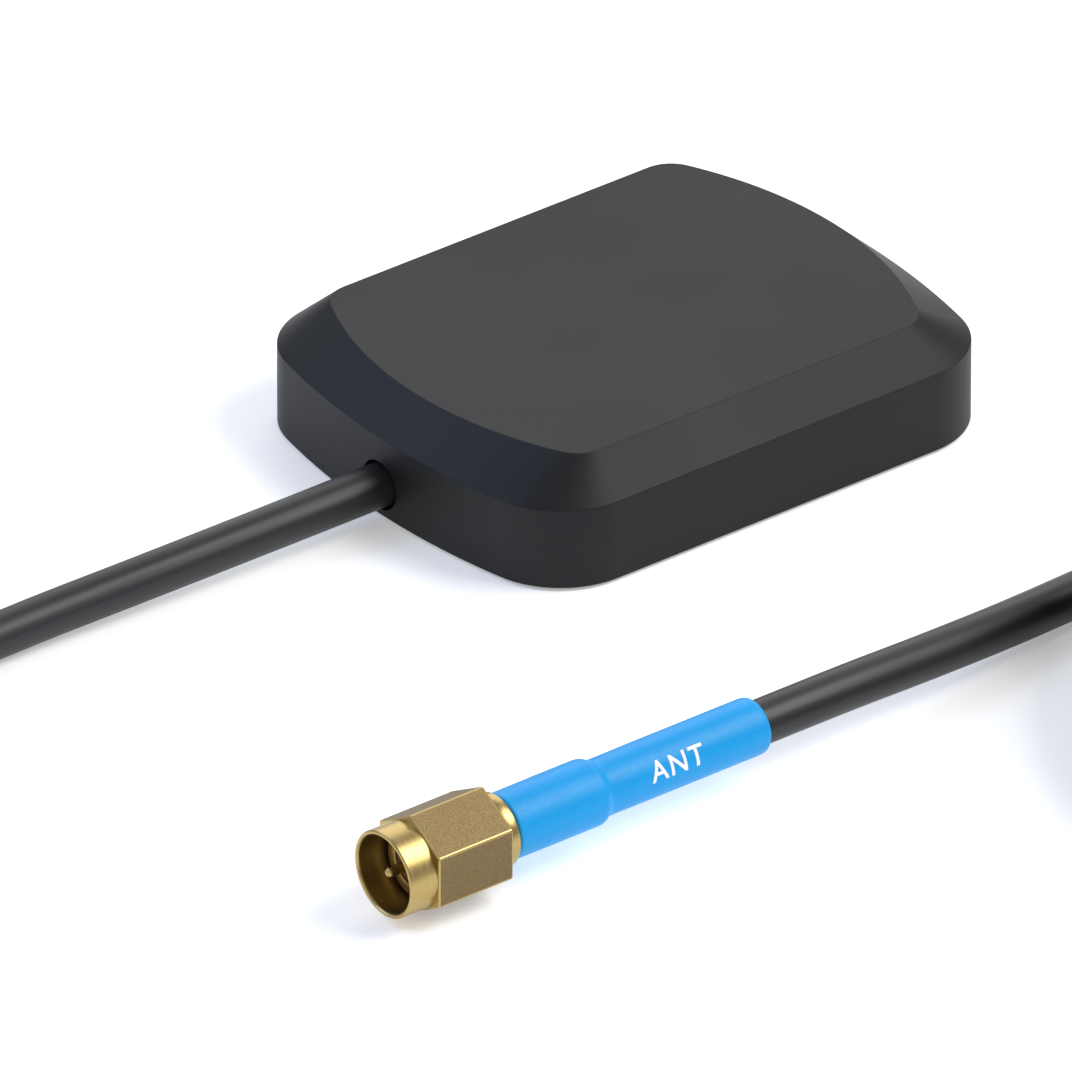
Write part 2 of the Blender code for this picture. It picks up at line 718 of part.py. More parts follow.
ABS = new_material("black ABS", (0.035, 0.038, 0.043), 0.5)
RUBBER = new_material("black rubber", (0.02, 0.02, 0.02), 0.8)
JACKET = new_material("black PVC jacket", (0.03, 0.03, 0.03), 0.45)
STRAP = new_material("black strap", (0.04, 0.04, 0.04), 0.8)
STEEL = new_material("tinned steel", (0.55, 0.55, 0.56), 0.3, 1.0)
NICKEL = new_material("nickel plate", (0.62, 0.6, 0.56), 0.25, 1.0)
BRASS = new_material("gold-plated brass", (0.6, 0.47, 0.24), 0.35, 1.0)
BRAID = new_material("tinned braid", (0.5, 0.5, 0.5), 0.5, 1.0)
CORE = new_material("white PTFE", (0.85, 0.85, 0.82), 0.5)
PEI = new_material("amber PEI", (0.35, 0.22, 0.08), 0.4)
SILICONE = new_material("tan silicone", (0.25, 0.18, 0.1), 0.6)
SLEEVE = new_material("blue heat-shrink", (0.05, 0.35, 0.8), 0.45)
BOARD = new_material("green board", (0.03, 0.2, 0.08), 0.5)
TAPE = new_material("grey foam tape", (0.4, 0.4, 0.4), 0.9)
CERAMIC = new_material("tan ceramic", (0.62, 0.52, 0.38), 0.6)

make_top_cover()
make_base_plate()
make_base_pad()
make_base_seal()
make_screws()
make_magnets()
make_electronics()
make_lead_entry()
make_lead()
make_coil()
make_ties()
AXIS = plug_axis()
make_coupling_nut(AXIS)
make_plug_body(AXIS)
make_plug_inside(AXIS)
make_plug_rear(AXIS)
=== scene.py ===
import math

import bpy
from mathutils import Matrix, Vector


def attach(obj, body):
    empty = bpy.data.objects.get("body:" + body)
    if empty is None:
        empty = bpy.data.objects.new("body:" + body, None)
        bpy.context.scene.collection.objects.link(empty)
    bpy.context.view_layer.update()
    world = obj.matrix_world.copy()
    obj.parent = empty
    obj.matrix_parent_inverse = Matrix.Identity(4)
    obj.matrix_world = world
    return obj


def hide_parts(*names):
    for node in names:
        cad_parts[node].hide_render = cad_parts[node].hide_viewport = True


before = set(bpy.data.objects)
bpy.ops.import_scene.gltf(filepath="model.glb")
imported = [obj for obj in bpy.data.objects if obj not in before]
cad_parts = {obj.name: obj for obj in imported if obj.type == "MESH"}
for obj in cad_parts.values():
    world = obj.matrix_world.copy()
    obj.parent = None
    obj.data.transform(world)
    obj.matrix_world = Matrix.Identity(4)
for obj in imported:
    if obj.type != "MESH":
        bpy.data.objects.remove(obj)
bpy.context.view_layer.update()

# Camera. A long lens looks down at 30 degrees from between the lead's end and a long side, far enough away
# to keep parallel edges parallel. It takes in the puck, the plug and 90 mm from side to side.
MM = 0.001
CAMERA_TURN = math.radians(38.2)
CAMERA_RISE = math.radians(30.44)
CAMERA_FRAME = 90.1 * MM
CAMERA_AIM = (-7.4 * MM, -9.8 * MM)

bpy.ops.object.select_all(action="DESELECT")
bpy.ops.object.camera_add(rotation=(math.pi / 2 - CAMERA_RISE, 0.0, -CAMERA_TURN))
camera = bpy.context.object
camera.name = "camera"
camera.data.lens = 1000.0
camera.data.sensor_width = 36.0
camera.data.clip_start = 0.5
camera.data.clip_end = 10.0
camera_axes = camera.rotation_euler.to_matrix()
camera_distance = CAMERA_FRAME * camera.data.lens / camera.data.sensor_width
camera.location = camera_axes @ Vector((*CAMERA_AIM, camera_distance))
bpy.context.scene.camera = camera


# Lead. One 3 m length of miniature coax, a braid and foam core under an extruded PVC jacket.
# It leaves the puck's end wall, settles on the table and runs round the front to the coil of spare length.
# From the coil's top turn it comes down to the table again and runs to the plug. All points are in mm.
LEAD_DIAMETER = 3.9 * MM
COIL_CENTRE = Vector((26.0, -83.7))
COIL_STEPS = 48
COIL_JOIN = 270
COIL_LEAVE = 322 + 360 * 17
FIRST_CROSSING = 245 + 360
CROSSING_WIDTH = 36
TURN_RADII = ([31.0, 27.1, 23.2, 19.3, 15.4], [17.35, 21.25, 25.15, 29.05])
LAYER_RISE = 3.38
LAYER_COUNT = 4

route_to_coil = [
    (-15.9, 0.0, 3.06), (-21.0, 0.0, 3.06), (-26.1, 0.0, 3.06), (-36.0, 0.1, 2.98), (-50.0, 0.6, 2.65),
    (-63.0, 1.2, 2.25), (-74.0, 0.9, 2.0), (-84.5, -2.4, 2.0), (-93.0, -10.5, 2.0), (-99.5, -22.0, 2.0),
    (-105.5, -35.0, 2.0), (-110.0, -49.0, 2.0), (-110.5, -63.5, 2.0), (-103.5, -77.5, 2.0),
    (-91.5, -90.0, 2.0), (-76.5, -100.5, 2.0), (-60.0, -108.5, 2.0), (-42.0, -114.0, 2.0),
    (-24.0, -116.9, 2.0), (-8.0, -117.3, 2.1), (3.0, -117.1, 2.4), (11.3, -116.4, 2.8), (19.0, -115.4, 2.95),
]
route_to_plug = [
    (56.6, -92.5, 13.75), (59.9, -82.0, 13.2),
    (58.8, -69.3, 11.6), (54.0, -61.6, 10.2), (47.3, -55.2, 7.8), (39.0, -50.8, 5.0), (30.0, -48.7, 3.0),
    (20.5, -48.3, 2.1), (11.0, -48.6, 2.1), (1.5, -49.6, 2.6), (-8.0, -50.9, 3.6), (-17.5, -51.8, 4.45),
    (-27.6, -52.1, 4.7), (-37.0, -52.1, 4.7), (-47.1, -52.1, 4.7),
]

# Each turn's radius and height: layers of five and four, nested in the one below, wound in and out again.
# The lead crosses from one turn to the next over 36 degrees, at the same place in every turn.
turn_places = []
for layer in range(LAYER_COUNT):
    turn_places += [(radius, 3.0 + LAYER_RISE * layer) for radius in TURN_RADII[layer % 2]]

coil_points = []
for step in range(round((COIL_LEAVE - COIL_JOIN) * COIL_STEPS / 360) + 1):
    degrees = COIL_JOIN + step * 360 / COIL_STEPS
    crossed = (degrees - FIRST_CROSSING) / 360 + 0.5
    whole = min(max(math.floor(crossed), 0), len(turn_places) - 1)
    share = (crossed - whole - 0.5) * 360 / CROSSING_WIDTH + 0.5
    share = min(max(share, 0.0), 1.0) if crossed > 0 else 0.0
    share = share * share * (3 - 2 * share)
    radius_a, height_a = turn_places[whole]
    radius_b, height_b = turn_places[min(whole + 1, len(turn_places) - 1)]
    radius = radius_a + (radius_b - radius_a) * share
    height = height_a + (height_b - height_a) * share
    angle = math.radians(degrees)
    coil_points.append(
        (COIL_CENTRE.x + radius * math.cos(angle), COIL_CENTRE.y + radius * math.sin(angle), height)
    )


def smooth_stretch(points, spacing=2.2):
    """Evenly spaced points on a smooth curve through the given ones, leaving out the first and last."""
    knots = [Vector(point) for point in points]
    dense = []
    for a, b, c, d in zip(knots, knots[1:], knots[2:], knots[3:]):
        count = max(2, round((c - b).length / spacing))
        for step in range(count):
            t = step / count
            bend = (2 * a - 5 * b + 4 * c - d) * t**2 + (3 * b - a - 3 * c + d) * t**3
            dense.append(0.5 * (2 * b + (c - a) * t + bend))
    return dense + [knots[-2]]


lead_line = smooth_stretch([(-10.8, 0.0, 3.06), *route_to_coil, coil_points[0], coil_points[1]])[:-1]
lead_line += [Vector(point) for point in coil_points[:-1]]
lead_line += smooth_stretch([coil_points[-2], coil_points[-1], *route_to_plug, (-57.0, -52.1, 4.7)])
lead_line = [point * MM for point in lead_line]

lead_curve = bpy.data.curves.new("coax_lead", "CURVE")
lead_curve.dimensions = "3D"
lead_curve.bevel_depth = LEAD_DIAMETER / 2
lead_curve.bevel_resolution = 6
lead_curve.use_fill_caps = True
lead_spline = lead_curve.splines.new("POLY")
lead_spline.points.add(len(lead_line) - 1)
for spline_point, place in zip(lead_spline.points, lead_line):
    spline_point.co = (*place, 1.0)
lead_spline.use_smooth = True
coax_lead = bpy.data.objects.new("coax_lead", lead_curve)
bpy.context.scene.collection.objects.link(coax_lead)


def select_only(obj):
    """Selects one object and makes it active, so that an operator acts on nothing else."""
    bpy.ops.object.select_all(action="DESELECT")
    obj.select_set(True)
    bpy.context.view_layer.objects.active = obj


select_only(coax_lead)
bpy.ops.object.convert(target="MESH")
coax_lead = bpy.context.object


def linear(code):
    """An sRGB hex colour as linear red, green, blue and alpha."""
    channels = [int(code[i : i + 2], 16) / 255 for i in (1, 3, 5)]
    return [c / 12.92 if c <= 0.04045 else ((c + 0.055) / 1.055) ** 2.4 for c in channels] + [1.0]


def add_node(material, kind, inputs=(), **settings):
    """Adds a shader node, with its settings. An input takes a number or colour, or another node's output."""
    node = material.node_tree.nodes.new("ShaderNode" + kind)
    for name, value in settings.items():
        setattr(node, name, value)
    for name, value in dict(inputs).items():
        if isinstance(value, bpy.types.NodeSocket):
            material.node_tree.links.new(value, node.inputs[name])
        else:
            node.inputs[name].default_value = value
    return node


def new_material(name):
    """An empty material with its surface shader ready."""
    material = bpy.data.materials.new(name)
    material.use_nodes = True
    return material, material.node_tree.nodes["Principled BSDF"]


def connect(material, shader, **sources):
    """Links node outputs to the surface shader's inputs, named with _ for a space."""
    for name, output in sources.items():
        material.node_tree.links.new(output, shader.inputs[name.replace("_", " ")])


def in_object(material):
    """The object's own coordinates, in metres."""
    return add_node(material, "TexCoord").outputs["Object"]


def grains(material, where, scale, detail=2.0):
    """A noise pattern, with this many grains to a unit of the coordinates: a metre, in the object's own."""
    noise = add_node(material, "TexNoise", {"Vector": where, "Scale": scale, "Detail": detail})
    return noise.outputs["Fac"]


def spread(material, value, low, high, start=0.3, end=0.7):
    """Spreads the usual range of a noise value from low to high."""
    ends = {"From Min": start, "From Max": end, "To Min": low, "To Max": high}
    return add_node(material, "MapRange", {"Value": value, **ends}).outputs["Result"]


def tone_between(material, share, dark, light):
    """A colour between two sRGB hex colours. A Mix node's colours are its inputs 6 and 7 and its output 2."""
    ends = {6: linear(dark), 7: linear(light)}
    return add_node(material, "Mix", {"Factor": share, **ends}, data_type="RGBA").outputs[2]


def relief(material, height, strength, depth_mm):
    """A bump from a pattern, with its depth in mm."""
    bump = add_node(material, "Bump", {"Height": height, "Strength": strength, "Distance": depth_mm * MM})
    return bump.outputs["Normal"]


# Black PVC, extruded: a satin skin, with faint streaks drawn out along the lead by the die.
# A streak is about 0.9 mm wide and 40 mm long. The UV map runs along the lead and round it.
pvc, pvc_shader = new_material("PVC jacket, extruded")
pvc_shader.inputs["IOR"].default_value = 1.53
pvc_shader.inputs["Specular IOR Level"].default_value = 0.5
pvc_uv = add_node(pvc, "TexCoord").outputs["UV"]
pvc_stretch = add_node(pvc, "Mapping", {"Vector": pvc_uv, "Scale": (75.0, 14.0, 1.0)})
pvc_streaks = grains(pvc, pvc_stretch.outputs["Vector"], 1.0, 3.0)
connect(
    pvc, pvc_shader,
    Base_Color=tone_between(pvc, pvc_streaks, "#0f0f10", "#19191a"),
    Roughness=spread(pvc, pvc_streaks, 0.4, 0.54),
    Normal=relief(pvc, grains(pvc, in_object(pvc), 2500.0), 0.15, 0.02),
)
coax_lead.data.materials.clear()
coax_lead.data.materials.append(pvc)
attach(coax_lead, "antenna")
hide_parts("lead_from_puck", "lead_coil", "lead_to_plug")


# Coil ties. Three woven hook-and-loop straps, each wrapped once round the bundle, with its end stuck down
# outside. One strap is shaped, then copied to its places on the coil, and the three are kept as one piece.
TIE_PLACES = (120, 212, 320)
TIE_INNER = (20.4 * MM, 14.8 * MM)
TIE_WIDTH = 5.0 * MM
TIE_THICKNESS = 0.6 * MM
TIE_CORNER = 3.2 * MM
TIE_LAP_GAP = 0.1 * MM
TIE_EDGE = 0.15 * MM
BUNDLE_RADIUS = 23.2 * MM
BUNDLE_MIDDLE = 8.0 * MM


def apply_modifiers(obj):
    """Applies every modifier, from the top of the list."""
    select_only(obj)
    for modifier in list(obj.modifiers):
        bpy.ops.object.modifier_apply(modifier=modifier.name)


def add_bevel(obj, width, segments, degrees=35):
    """Rounds every edge sharper than an angle."""
    bevel = obj.modifiers.new("rounded edges", "BEVEL")
    bevel.width = width
    bevel.segments = segments
    bevel.limit_method = "ANGLE"
    bevel.angle_limit = math.radians(degrees)
    bevel.use_clamp_overlap = True


def smooth_finish(obj, degrees=35):
    """Smooth shading that leaves flat faces flat and sharp edges sharp."""
    select_only(obj)
    bpy.ops.object.shade_smooth_by_angle(angle=math.radians(degrees))
    weighted = obj.modifiers.new("weighted normals", "WEIGHTED_NORMAL")
    weighted.keep_sharp = True
    apply_modifiers(obj)


def select_faces(obj, chosen):
    """In edit mode, selects the faces that the test picks by their centre and normal."""
    bpy.ops.mesh.select_all(action="DESELECT")
    bpy.ops.mesh.select_mode(type="FACE")
    bpy.ops.object.mode_set(mode="OBJECT")
    for polygon in obj.data.polygons:
        polygon.select = chosen(polygon.center, polygon.normal)
    bpy.ops.object.mode_set(mode="EDIT")


bpy.ops.object.select_all(action="DESELECT")
bpy.ops.mesh.primitive_cube_add(size=1.0, scale=(TIE_INNER[0], TIE_WIDTH, TIE_INNER[1]))
strap_loop = bpy.context.object
strap_loop.name = "strap_loop"
bpy.ops.object.transform_apply(location=False, rotation=False, scale=True)
bpy.ops.object.mode_set(mode="EDIT")
select_faces(strap_loop, lambda centre, normal: abs(normal.y) > 0.9)
bpy.ops.mesh.delete(type="FACE")
bpy.ops.object.mode_set(mode="OBJECT")
add_bevel(strap_loop, TIE_CORNER, 6, 60)
apply_modifiers(strap_loop)
bpy.ops.object.mode_set(mode="EDIT")
# The free end of the strap: a second layer over the outer side, from the top corner down.
select_faces(strap_loop, lambda centre, normal: normal.x > 0.3)
bpy.ops.mesh.duplicate()
bpy.ops.transform.translate(value=(TIE_THICKNESS + TIE_LAP_GAP, 0.0, 0.0))
bpy.ops.mesh.select_all(action="SELECT")
bpy.ops.mesh.normals_make_consistent(inside=False)
bpy.ops.object.mode_set(mode="OBJECT")
wall = strap_loop.modifiers.new("strap thickness", "SOLIDIFY")
wall.thickness = TIE_THICKNESS
wall.offset = 1.0
wall.use_even_offset = True
add_bevel(strap_loop, TIE_EDGE, 2)
apply_modifiers(strap_loop)

tie_copies = []
for degrees in TIE_PLACES:
    tie = strap_loop.copy()
    tie.data = strap_loop.data.copy()
    bpy.context.scene.collection.objects.link(tie)
    outward = Vector((math.cos(math.radians(degrees)), math.sin(math.radians(degrees))))
    tie.rotation_euler.z = math.radians(degrees)
    tie.location = (*(COIL_CENTRE * MM + outward * BUNDLE_RADIUS), BUNDLE_MIDDLE)
    select_only(tie)
    bpy.ops.object.transform_apply(location=True, rotation=True, scale=True)
    tie_copies.append(tie)
bpy.data.objects.remove(strap_loop)
bpy.ops.object.select_all(action="DESELECT")
for tie in tie_copies:
    tie.select_set(True)
bpy.context.view_layer.objects.active = tie_copies[0]
bpy.ops.object.join()
coil_ties = bpy.context.object
coil_ties.name = "coil_ties"
smooth_finish(coil_ties)

# Polyester strap, woven: dull black, with a cross weave. The threads are about 0.2 mm apart, as in a real one.
strap, strap_shader = new_material("polyester strap, woven")
strap_shader.inputs["Sheen Weight"].default_value = 0.25
strap_shader.inputs["Roughness"].default_value = 0.85
strap_where = in_object(strap)
strap_warp = add_node(strap, "TexWave", {"Vector": strap_where, "Scale": 1650.0}, bands_direction="X")
strap_weft = add_node(strap, "TexWave", {"Vector": strap_where, "Scale": 1650.0}, bands_direction="Z")
strap_threads = {0: strap_warp.outputs["Fac"], 1: strap_weft.outputs["Fac"]}
strap_weave = add_node(strap, "Math", strap_threads, operation="MULTIPLY").outputs[0]
connect(
    strap, strap_shader,
    Base_Color=tone_between(strap, strap_weave, "#131314", "#2b2b2d"),
    Normal=relief(strap, strap_weave, 0.5, 0.06),
)
coil_ties.data.materials.append(strap)
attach(coil_ties, "antenna")
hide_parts("coil_tie_1", "coil_tie_2", "coil_tie_3")


# Top cover. The radome is one injection moulding in black ABS: straight sides, bowed ends and a chamfer round
# a flat top. It's shaped as rings of one quarter outline, mirrored, bridged, filled and given its wall.
COVER_RINGS = [
    # height, half length, half width, radius of the bowed end, corner radius
    (0.3, 26.1, 20.7, 71.6, 7.7),
    (7.7, 26.1, 20.7, 71.6, 7.7),
    (10.9, 22.65, 17.3, 35.6, 3.1),
]
COVER_WALL = 1.8 * MM
COVER_EDGE = 0.5 * MM
SAME_HEIGHT = 0.01 * MM
LEAD_HOLE = 2.25 * MM
LEAD_EXIT = (-26.1 * MM, 0.0, 3.06 * MM)


def quarter_outline(height, half_length, half_width, end_radius, corner):
    """In edit mode, draws a quarter outline, in mm: the bowed end, the corner, then the straight side."""
    bow_x = half_length - end_radius
    corner_y = half_width - corner
    corner_x = bow_x + math.sqrt((end_radius - corner) ** 2 - corner_y**2)
    meet = math.atan2(corner_y, corner_x - bow_x)
    bpy.ops.mesh.select_all(action="DESELECT")
    bpy.ops.mesh.primitive_plane_add(size=MM)
    bpy.ops.mesh.merge(type="CENTER")
    bpy.ops.transform.translate(value=(half_length * MM, 0.0, height * MM))
    bow_centre = (bow_x * MM, 0.0, height * MM)
    corner_centre = (corner_x * MM, corner_y * MM, height * MM)
    bpy.ops.mesh.spin(steps=24, angle=-meet, center=bow_centre, axis=(0.0, 0.0, 1.0))
    bpy.ops.mesh.spin(steps=28, angle=meet - math.pi / 2, center=corner_centre, axis=(0.0, 0.0, 1.0))
    bpy.ops.mesh.extrude_vertices_move(TRANSFORM_OT_translate={"value": (-corner_x * MM, 0.0, 0.0)})


def select_edges(obj, chosen):
    """In edit mode, selects the edges whose two ends both pass the test."""
    bpy.ops.mesh.select_mode(type="EDGE")
    bpy.ops.mesh.select_all(action="DESELECT")
    bpy.ops.object.mode_set(mode="OBJECT")
    points = obj.data.vertices
    for edge in obj.data.edges:
        edge.select = all(chosen(points[index].co) for index in edge.vertices)
    bpy.ops.object.mode_set(mode="EDIT")


bpy.ops.object.select_all(action="DESELECT")
bpy.ops.mesh.primitive_plane_add(size=MM)
cover = bpy.context.object
cover.name = "radome_cover"
bpy.ops.object.mode_set(mode="EDIT")
bpy.ops.mesh.delete(type="VERT")
bpy.ops.mesh.select_mode(type="VERT")
for ring in COVER_RINGS:
    quarter_outline(*ring)
bpy.ops.object.mode_set(mode="OBJECT")
mirror = cover.modifiers.new("four quarters", "MIRROR")
mirror.use_axis = (True, True, False)
mirror.merge_threshold = 0.01 * MM
apply_modifiers(cover)
bpy.ops.object.mode_set(mode="EDIT")
ring_heights = [ring[0] * MM for ring in COVER_RINGS]
for low, high in zip(ring_heights, ring_heights[1:]):
    select_edges(cover, lambda place: min(abs(place.z - low), abs(place.z - high)) < SAME_HEIGHT)
    bpy.ops.mesh.bridge_edge_loops()
select_edges(cover, lambda place: abs(place.z - ring_heights[-1]) < SAME_HEIGHT)
bpy.ops.mesh.edge_face_add()
bpy.ops.mesh.select_all(action="SELECT")
bpy.ops.mesh.normals_make_consistent(inside=False)
bpy.ops.object.mode_set(mode="OBJECT")
wall = cover.modifiers.new("moulded wall", "SOLIDIFY")
wall.thickness = COVER_WALL
wall.offset = -1.0
wall.use_even_offset = True
apply_modifiers(cover)


def outer_ring(place):
    """Whether a point is on the outer skin, at the height of one of the three rings that the mould rounds."""
    rim_z, wall_top_z, top_z = ring_heights
    on_side = abs(place.y) > 20.0 * MM
    on_end = abs(place.x) > 24.4 * MM
    on_corner = abs(place.x) + abs(place.y) > 38.0 * MM
    on_wall = min(abs(place.z - wall_top_z), abs(place.z - rim_z)) < SAME_HEIGHT
    return abs(place.z - top_z) < SAME_HEIGHT or (on_wall and (on_side or on_end or on_corner))


bpy.ops.object.mode_set(mode="EDIT")
select_edges(cover, outer_ring)
bpy.ops.mesh.bevel(offset=COVER_EDGE, segments=6, profile=0.5, affect="EDGES", clamp_overlap=True)
bpy.ops.object.mode_set(mode="OBJECT")
bpy.ops.object.select_all(action="DESELECT")
bpy.ops.mesh.primitive_cylinder_add(
    vertices=48, radius=LEAD_HOLE, depth=6.0 * MM, location=LEAD_EXIT, rotation=(0.0, math.pi / 2, 0.0)
)
drill = bpy.context.object


def cut_away(obj, cutter, operation="DIFFERENCE"):
    """Cuts one shape from a piece, or adds it, and removes the shape."""
    boolean = obj.modifiers.new("shaped by " + cutter.name, "BOOLEAN")
    boolean.operation = operation
    boolean.solver = "EXACT"
    boolean.object = cutter
    apply_modifiers(obj)
    bpy.data.objects.remove(cutter)


cut_away(cover, drill)
smooth_finish(cover, 28)

# ABS, injection moulded in a lightly spark-textured tool: near black and matt, with a grain of about 0.25 mm.
# Slow cloudy changes in roughness keep a broad face from looking flat.
abs_plastic, abs_shader = new_material("ABS, moulded, fine spark texture")
abs_shader.inputs["IOR"].default_value = 1.54
abs_shader.inputs["Specular IOR Level"].default_value = 0.28
abs_where = in_object(abs_plastic)
abs_grain = grains(abs_plastic, abs_where, 4200.0)
connect(
    abs_plastic, abs_shader,
    Base_Color=tone_between(abs_plastic, abs_grain, "#090a0b", "#101113"),
    Roughness=spread(abs_plastic, grains(abs_plastic, abs_where, 60.0), 0.52, 0.55),
    Normal=relief(abs_plastic, abs_grain, 0.25, 0.02),
)
cover.data.materials.append(abs_plastic)
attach(cover, "antenna")
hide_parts("top_cover")


# Base. A moulded ABS plate closes the underside, a soft rubber pad is stuck under it to grip the roof, and
# a rubber strip seals it to the wall. The bush that fills the lead's notch is of the same rubber.
def paint_nodes(material, *names):
    """Gives CAD nodes their finish."""
    for name in names:
        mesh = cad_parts[name].data
        mesh.materials.clear()
        mesh.materials.append(material)


# Black EPDM rubber, moulded: dull, with a faint dust-grey bloom over patches of some 5 mm.
rubber, rubber_shader = new_material("EPDM rubber, moulded")
rubber_shader.inputs["Roughness"].default_value = 0.85
rubber_bloom = grains(rubber, in_object(rubber), 200.0, 4.0)
connect(
    rubber, rubber_shader,
    Base_Color=tone_between(rubber, rubber_bloom, "#141414", "#232322"),
    Normal=relief(rubber, rubber_bloom, 0.3, 0.05),
)
paint_nodes(rubber, "base_pad", "base_seal", "lead_bush")
paint_nodes(abs_plastic, "base_plate", "amplifier_chip")


# Magnets and screws. Four neodymium discs hold the puck to a roof, and four self-tapping screws hold the
# plate. The discs are nickel plated and tumbled, and the screws and the shield can are plated steel.
def plated_metal(name, tones, rough, grain_mm, strength):
    """A plated metal: two close tones and a fine grain of a given size."""
    material, shader = new_material(name)
    shader.inputs["Metallic"].default_value = 1.0
    grain = grains(material, in_object(material), 1 / (grain_mm * MM), 3.0)
    connect(
        material, shader,
        Base_Color=tone_between(material, grain, *tones),
        Roughness=spread(material, grain, *rough),
        Normal=relief(material, grain, strength, 0.02),
    )
    return material


nickel = plated_metal("nickel plate, tumbled", ("#b9b3a6", "#cfcabd"), (0.22, 0.34), 0.8, 0.1)
plated_steel = plated_metal("steel, zinc and tin plated", ("#a9acae", "#c8cacb"), (0.3, 0.42), 0.4, 0.15)
paint_nodes(nickel, "magnet_1", "magnet_2", "magnet_3", "magnet_4")
paint_nodes(
    plated_steel, "base_screw_1", "base_screw_2", "base_screw_3", "base_screw_4", "shield_can", "snap_ring"
)


# Electronics. The ceramic patch sits on foam tape over a green board, its pin soldered through both. Under
# the board are the amplifier chip and the filter, in a tin-plated can.
def plain_solid(name, tones, rough, grain_mm, strength=0.2):
    """A non-metal with a grain of a given size in two close tones."""
    material, shader = new_material(name)
    shader.inputs["Roughness"].default_value = rough
    grain = grains(material, in_object(material), 1 / (grain_mm * MM), 3.0)
    connect(
        material, shader,
        Base_Color=tone_between(material, grain, *tones),
        Normal=relief(material, grain, strength, 0.03),
    )
    return material


solder_mask = plain_solid("glass-epoxy board, green solder mask", ("#0d5a2c", "#157a3c"), 0.35, 0.6)
ceramic = plain_solid("dielectric ceramic, sintered", ("#b49a72", "#c9b38c"), 0.6, 0.3)
foam = plain_solid("acrylic foam tape, die cut", ("#5d5d5f", "#78787a"), 0.9, 0.15, 0.5)
paint_nodes(solder_mask, "circuit_board")
paint_nodes(ceramic, "patch_antenna", "saw_filter")
paint_nodes(foam, "patch_tape")


# Coax ends. Inside the puck and inside the plug the jacket is cut back to the tinned braid, and the braid to
# the white core. The braid's 0.1 mm wires are too fine to draw, and show as a rough grain of 0.25 mm.
braid = plated_metal("copper braid, tinned", ("#8d8f90", "#b5b6b4"), (0.35, 0.55), 0.25, 0.5)
ptfe = plain_solid("PTFE, skived", ("#dcdcd6", "#ecece8"), 0.45, 0.5)
paint_nodes(braid, "coax_braid", "plug_braid")
paint_nodes(ptfe, "coax_core", "plug_core")


# Plug metal. Its turned parts are brass with a thin gold plate: a satin skin, with rings left by the tool.
# Real feed marks are some 0.05 mm apart, too fine to show, so they are drawn 0.15 mm apart along the axis.
gold, gold_shader = new_material("brass, turned, gold plated")
gold_shader.inputs["Metallic"].default_value = 1.0
gold_along = add_node(gold, "Mapping", {"Vector": in_object(gold), "Scale": (6600.0, 300.0, 300.0)})
gold_rings = grains(gold, gold_along.outputs["Vector"], 1.0)
connect(
    gold, gold_shader,
    Base_Color=tone_between(gold, gold_rings, "#ab935c", "#c0a970"),
    Roughness=spread(gold, gold_rings, 0.28, 0.38),
    Normal=relief(gold, gold_rings, 0.12, 0.01),
)
paint_nodes(gold, "feed_pin", "lead_crimp", "coax_wire", "crimp_ferrule")


# Coupling nut. Milled from hexagon bar, 8 mm across flats, with a turned collar in front, and gold plated.
# The flats are bead blasted. The snap ring holds it on the plug's body, and it turns freely.
PLUG_FACE = Vector((-63.5, -52.1, 4.7)) * MM
HEX_FLATS = 8.0 * MM
HEX_FROM, HEX_TO = 0.1 * MM, -7.6 * MM
HEX_EDGE = 0.15 * MM
BLASTED_AREA = 3 * MM * MM
BLASTED_FROM = 3.3 * MM


def turned_piece(name, profile, steps=96):
    """Turns a closed profile about the plug's axis. Points are (distance ahead of the face, radius), in mm."""
    bpy.ops.object.select_all(action="DESELECT")
    bpy.ops.mesh.primitive_plane_add(size=MM)
    piece = bpy.context.object
    piece.name = name
    places = [
        Vector((PLUG_FACE.x - ahead * MM, PLUG_FACE.y, PLUG_FACE.z + radius * MM))
        for ahead, radius in profile
    ]
    bpy.ops.object.mode_set(mode="EDIT")
    bpy.ops.mesh.select_mode(type="VERT")
    bpy.ops.mesh.merge(type="CENTER")
    bpy.ops.transform.translate(value=places[0])
    for start, end in zip(places, places[1:] + places[:1]):
        bpy.ops.mesh.extrude_vertices_move(TRANSFORM_OT_translate={"value": end - start})
    bpy.ops.mesh.select_all(action="SELECT")
    bpy.ops.mesh.spin(steps=steps, angle=2 * math.pi, center=PLUG_FACE, axis=(1.0, 0.0, 0.0))
    bpy.ops.mesh.select_all(action="SELECT")
    bpy.ops.mesh.remove_doubles(threshold=0.003 * MM)
    bpy.ops.mesh.normals_make_consistent(inside=False)
    bpy.ops.object.mode_set(mode="OBJECT")
    return piece


bpy.ops.object.select_all(action="DESELECT")
bpy.ops.mesh.primitive_cylinder_add(
    vertices=6,
    radius=HEX_FLATS / 2 / math.cos(math.pi / 6),
    depth=HEX_FROM - HEX_TO,
    location=PLUG_FACE - Vector(((HEX_FROM + HEX_TO) / 2, 0.0, 0.0)),
    rotation=(0.0, math.pi / 2, 0.0),
)
nut = bpy.context.object
nut.name = "hex_nut"
bpy.ops.object.transform_apply(location=False, rotation=True, scale=False)
nut.rotation_euler.x = math.radians(30)
bpy.ops.object.transform_apply(location=True, rotation=True, scale=True)
add_bevel(nut, HEX_EDGE, 3, 30)
apply_modifiers(nut)
nut_collar = turned_piece(
    "nut_collar",
    [(2.8, 0.0), (2.8, 3.72), (2.76, 3.8), (2.68, 3.85), (-1.0, 3.85), (-1.0, 0.0)],
)
cut_away(nut, nut_collar, "UNION")
